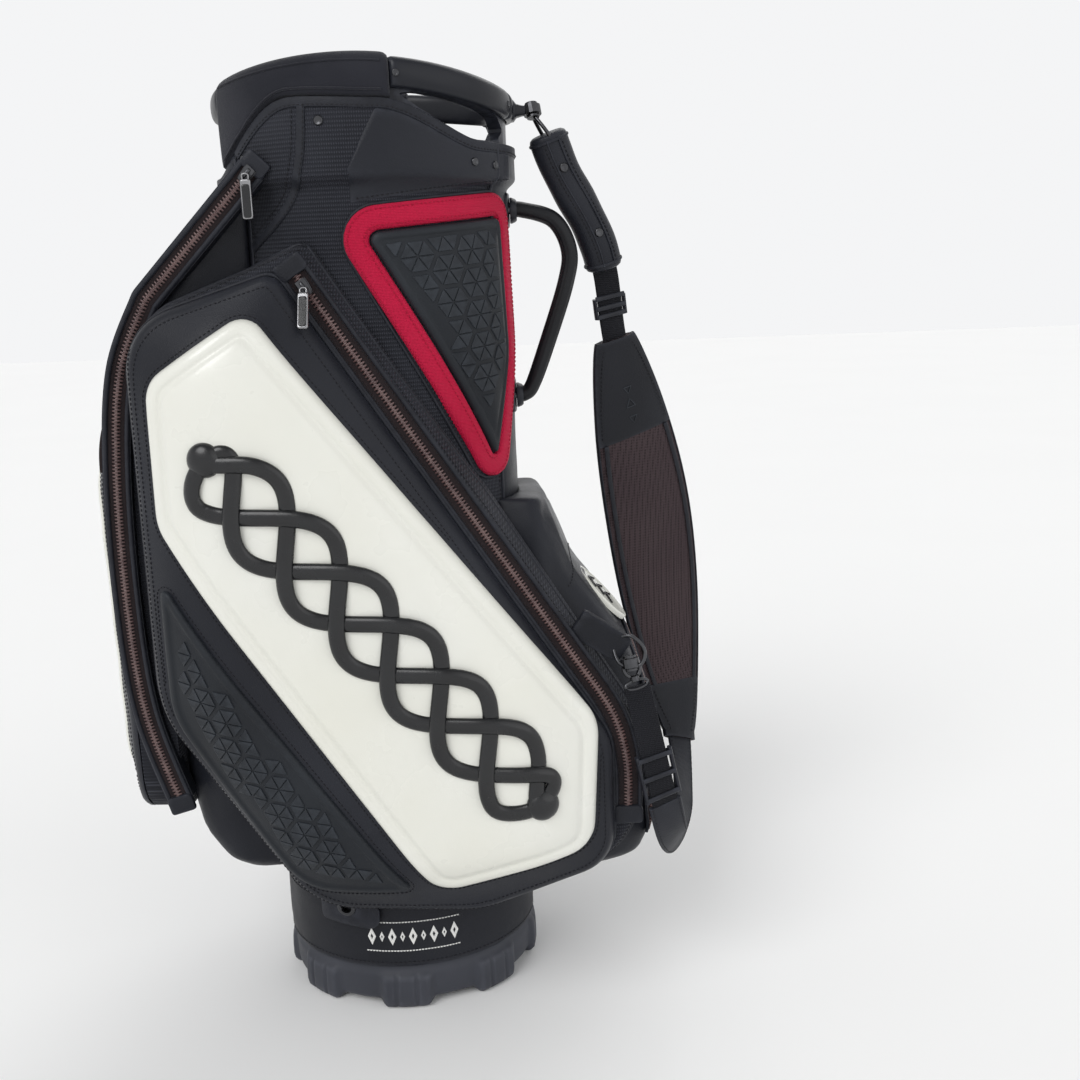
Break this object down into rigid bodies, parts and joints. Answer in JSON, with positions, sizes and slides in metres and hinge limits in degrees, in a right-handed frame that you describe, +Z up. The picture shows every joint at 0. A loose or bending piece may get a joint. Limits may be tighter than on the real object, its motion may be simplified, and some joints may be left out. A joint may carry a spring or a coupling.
{
  "type": "golf staff bag",
  "caption": "Upright golf staff bag with a divided club tube, handled cuff, zipped side and front pockets, a fold-down ball pocket, and a padded shoulder strap on swivels",
  "frame": {"origin": "the middle of the flat underside of the base, where the bag stands", "axes": "+Z up along the club tube, +X towards the spine with its handle and strap, -X towards the ball pocket, -Y the near side whose pocket faces the viewer"},
  "size_m": [0.609, 0.388, 0.9],
  "materials": {
    "black_pu": "embossed synthetic leather, soft sheen",
    "woven_fabric": "diamond-weave nylon",
    "cuff_fabric": "brushed foam-backed knit",
    "cuff_plastic": "satin moulded plastic",
    "base_plastic": "fine-grained moulded plastic",
    "white_pu": "glossy white synthetic leather over foam",
    "red_fabric": "ribbed crimson fabric",
    "textured_pu": "debossed with triangles",
    "zip_coil": "woven tape with dark maroon coil",
    "slider_metal": "satin nickel",
    "dark_metal": "black nickel",
    "webbing": "ribbed nylon webbing",
    "spacer_mesh": "mauve-brown spacer mesh",
    "liner": "smooth polypropylene tube",
    "divider_fabric": "brushed polyester"
  },
  "bodies": {
    "bag": {"accent_border_far": "red_fabric", "accent_border_near": "red_fabric", "accent_pad_far": "textured_pu", "accent_pad_near": "textured_pu", "ball_pocket_gusset": "woven_fabric", "base_band": "black_pu", "base_cup": "base_plastic", "body_panel_far": "woven_fabric", "body_panel_front": "black_pu", "body_panel_near": "woven_fabric", "cuff_handle_far": "cuff_plastic", "cuff_handle_front": "cuff_plastic", "cuff_handle_near": "cuff_plastic", "cuff_pad_far": "cuff_fabric", "cuff_pad_near": "cuff_fabric", "cuff_ring": "cuff_plastic", "cuff_spine_cap": "cuff_plastic", "divider_frame": "divider_fabric", "divider_sheet_front_far": "divider_fabric", "divider_sheet_front_near": "divider_fabric", "divider_sheet_long": "divider_fabric", "divider_sheet_rear_far": "divider_fabric", "divider_sheet_rear_near": "divider_fabric", "front_pocket": "black_pu", "front_zip_far": "zip_coil", "front_zip_near": "zip_coil", "liner_tube": "liner", "rear_badge": "white_pu", "rear_pocket": "black_pu", "side_cover_far": "black_pu", "side_cover_near": "black_pu", "side_gusset_far": "black_pu", "side_gusset_near": "black_pu", "side_zip_far": "zip_coil", "side_zip_near": "zip_coil", "spine_handle": "black_pu", "spine_panel": "black_pu", "strap_stud_foot": "dark_metal", "strap_stud_top": "dark_metal", "strap_tab_top": "cuff_plastic", "texture_panel_far": "textured_pu", "texture_panel_near": "textured_pu", "white_panel_far": "white_pu", "white_panel_near": "white_pu"},
    "strap": {"strap_swivel_top": "dark_metal", "strap_swivel_foot": "dark_metal", "strap_roll": "black_pu", "strap_web_upper": "webbing", "strap_pad": "spacer_mesh", "strap_web_lower": "webbing", "strap_buckle": "cuff_plastic", "strap_web_end": "webbing"},
    "side_near_slider": {"side_near_slider": "slider_metal"},
    "side_near_pull": {"side_near_pull": "slider_metal"},
    "side_far_slider": {"side_far_slider": "slider_metal"},
    "side_far_pull": {"side_far_pull": "slider_metal"},
    "front_slider": {"front_slider": "slider_metal"},
    "front_pull": {"front_pull": "slider_metal"},
    "ball_pocket_door": {"ball_pocket_door": "black_pu"}
  },
  "joints": [
    {"name": "strap_swing", "type": "hinge", "parent": "bag", "child": "strap", "pos_m": [0.157, 0, 0.864], "axis": [0.1333, -0.2627, -0.9556], "range_deg": [0, 100]},
    {"name": "side_near_zip", "type": "slide", "parent": "bag", "child": "side_near_slider", "axis": [0.5448, 0, -0.8386], "range_m": [0, 0.39]},
    {"name": "side_near_pull_lift", "type": "hinge", "parent": "side_near_slider", "child": "side_near_pull", "pos_m": [-0.04458, -0.1473, 0.709], "axis": [-1, 0, 0], "range_deg": [0, 120]},
    {"name": "side_far_zip", "type": "slide", "parent": "bag", "child": "side_far_slider", "axis": [0.5448, 0, -0.8386], "range_m": [0, 0.39]},
    {"name": "side_far_pull_lift", "type": "hinge", "parent": "side_far_slider", "child": "side_far_pull", "pos_m": [-0.04458, 0.1473, 0.709], "axis": [1, 0, 0], "range_deg": [0, 120]},
    {"name": "front_zip", "type": "slide", "parent": "bag", "child": "front_slider", "axis": [-0.6967, 0.0361, -0.7164], "range_m": [0, 0.06]},
    {"name": "front_pull_lift", "type": "hinge", "parent": "front_slider", "child": "front_pull", "pos_m": [-0.09236, -0.11497, 0.80546], "axis": [-1, 0, 0], "range_deg": [0, 140]},
    {"name": "ball_pocket_fold", "type": "hinge", "parent": "bag", "child": "ball_pocket_door", "pos_m": [-0.2445, 0, 0.205], "axis": [0, -1, 0], "range_deg": [0, 40]}
  ]
}
